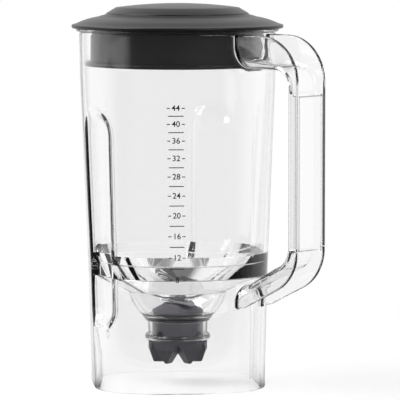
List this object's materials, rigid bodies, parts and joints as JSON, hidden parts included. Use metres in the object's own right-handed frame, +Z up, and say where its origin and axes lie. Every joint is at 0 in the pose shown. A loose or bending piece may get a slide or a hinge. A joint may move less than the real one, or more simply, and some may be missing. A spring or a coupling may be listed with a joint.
{
  "type": "blender jar",
  "caption": "Clear fluted blender jar with a side handle, a black lid with a filler cap, and a bladed cutter assembly with its toothed drive coupling in an open skirt.",
  "frame": {"origin": "centre of the skirt's bottom rim, on the jar's axis", "axes": "+Z up along the jar's axis, +X towards the handle"},
  "size_m": [0.1832, 0.1404, 0.2542],
  "materials": {
    "clear_polycarbonate": "clear moulded polycarbonate",
    "lid_rubber": "satin black moulded rubber",
    "housing_plastic": "dark moulded",
    "seal_rubber": "moulded",
    "stainless_steel": "turned",
    "bearing_steel": "ground",
    "blade_steel": "stamped and ground",
    "insert_brass": "turned",
    "coupling_plastic": "black moulded"
  },
  "bodies": {
    "jar": {"container": "clear_polycarbonate", "lid": "lid_rubber", "filler_cap": "lid_rubber", "bearing_housing": "housing_plastic", "housing_gasket": "seal_rubber", "retaining_washer": "stainless_steel", "retaining_nut": "housing_plastic", "upper_bearing_outer_race": "bearing_steel", "upper_bearing_balls": "bearing_steel", "lower_bearing_outer_race": "bearing_steel", "lower_bearing_balls": "bearing_steel", "bearing_circlip": "bearing_steel", "shaft_seal": "seal_rubber"},
    "cutter": {"upper_bearing_inner_race": "bearing_steel", "lower_bearing_inner_race": "bearing_steel", "drive_shaft": "stainless_steel", "lower_slinger": "stainless_steel", "thrust_washer": "stainless_steel", "lower_blade": "blade_steel", "blade_spacer": "stainless_steel", "upper_blade": "blade_steel", "blade_lock_washer": "stainless_steel", "blade_nut": "stainless_steel", "coupling_insert": "insert_brass", "drive_coupling": "coupling_plastic"}
  },
  "joints": [
    {"name": "cutter_spin", "type": "hinge", "parent": "jar", "child": "cutter", "pos_m": [0, 0, 0.045], "axis": [0, 0, 1], "continuous": true}
  ]
}
